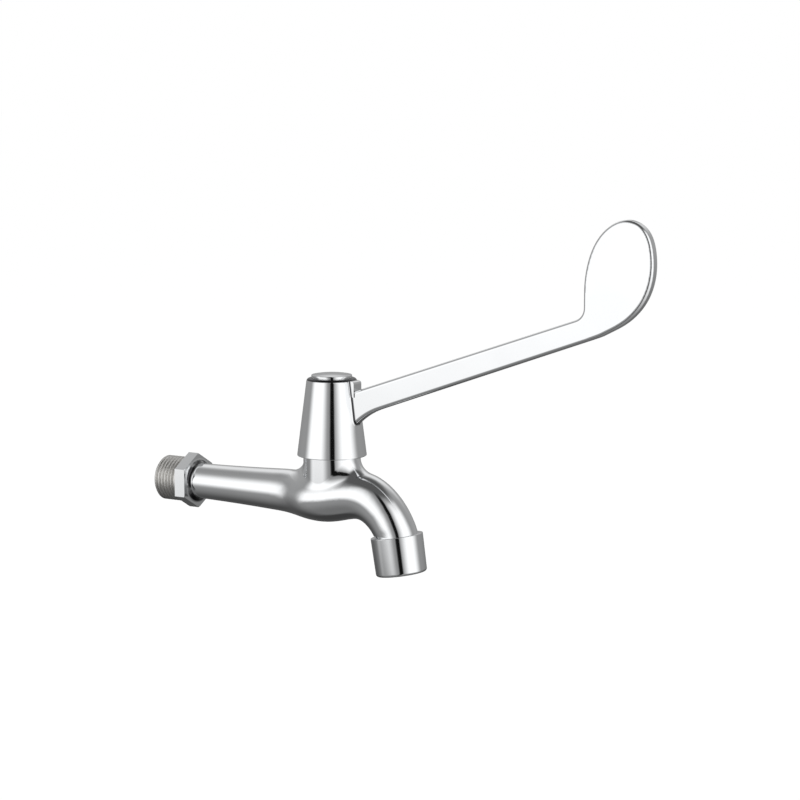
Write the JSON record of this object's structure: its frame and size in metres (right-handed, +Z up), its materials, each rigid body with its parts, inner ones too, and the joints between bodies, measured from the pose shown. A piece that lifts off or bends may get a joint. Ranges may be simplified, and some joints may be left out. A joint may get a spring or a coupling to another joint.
{
  "type": "bib tap",
  "caption": "Wall bib tap with threaded inlet tube, bulged valve chamber, curved spout with aerator nozzle, and a long elbow lever ending in an upright paddle.",
  "frame": {"origin": "on the inlet thread's axis, at the shoulder where the spanner hexagon meets the wall's socket", "axes": "+X out from the wall along the tap, +Z up along the spindle, +Y to the left of someone who looks out from the wall"},
  "size_m": [0.2535, 0.0316, 0.1627],
  "materials": {
    "polished_chrome": "polished",
    "turned_brass": "machined",
    "fibre_gasket": "matt pressed fibre",
    "black_rubber": "matt",
    "white_ceramic": "lapped",
    "bearing_plastic": "smooth",
    "stainless_steel": "bright",
    "moulded_plastic": "satin"
  },
  "bodies": {
    "tap": {"tap_body": "polished_chrome", "headwork_housing": "turned_brass", "headwork_gasket": "fibre_gasket", "seat_seal": "black_rubber", "fixed_disc": "white_ceramic", "nozzle_housing": "polished_chrome", "aerator_washer": "black_rubber", "aerator_shell": "moulded_plastic", "aerator_filter": "stainless_steel", "aerator_diffuser": "moulded_plastic", "flow_straightener": "moulded_plastic"},
    "lever": {"lever_handle": "polished_chrome", "index_cap": "polished_chrome", "handle_screw": "stainless_steel", "screw_lock_washer": "stainless_steel", "spindle": "turned_brass", "spindle_o_rings": "black_rubber", "thrust_washer": "bearing_plastic", "stop_ring": "stainless_steel", "spindle_circlip": "stainless_steel", "moving_disc": "white_ceramic"}
  },
  "joints": [
    {"name": "lever_turn", "type": "hinge", "parent": "tap", "child": "lever", "pos_m": [0.081, 0, 0.03], "axis": [0, 0, 1], "range_deg": [0, 90]}
  ]
}
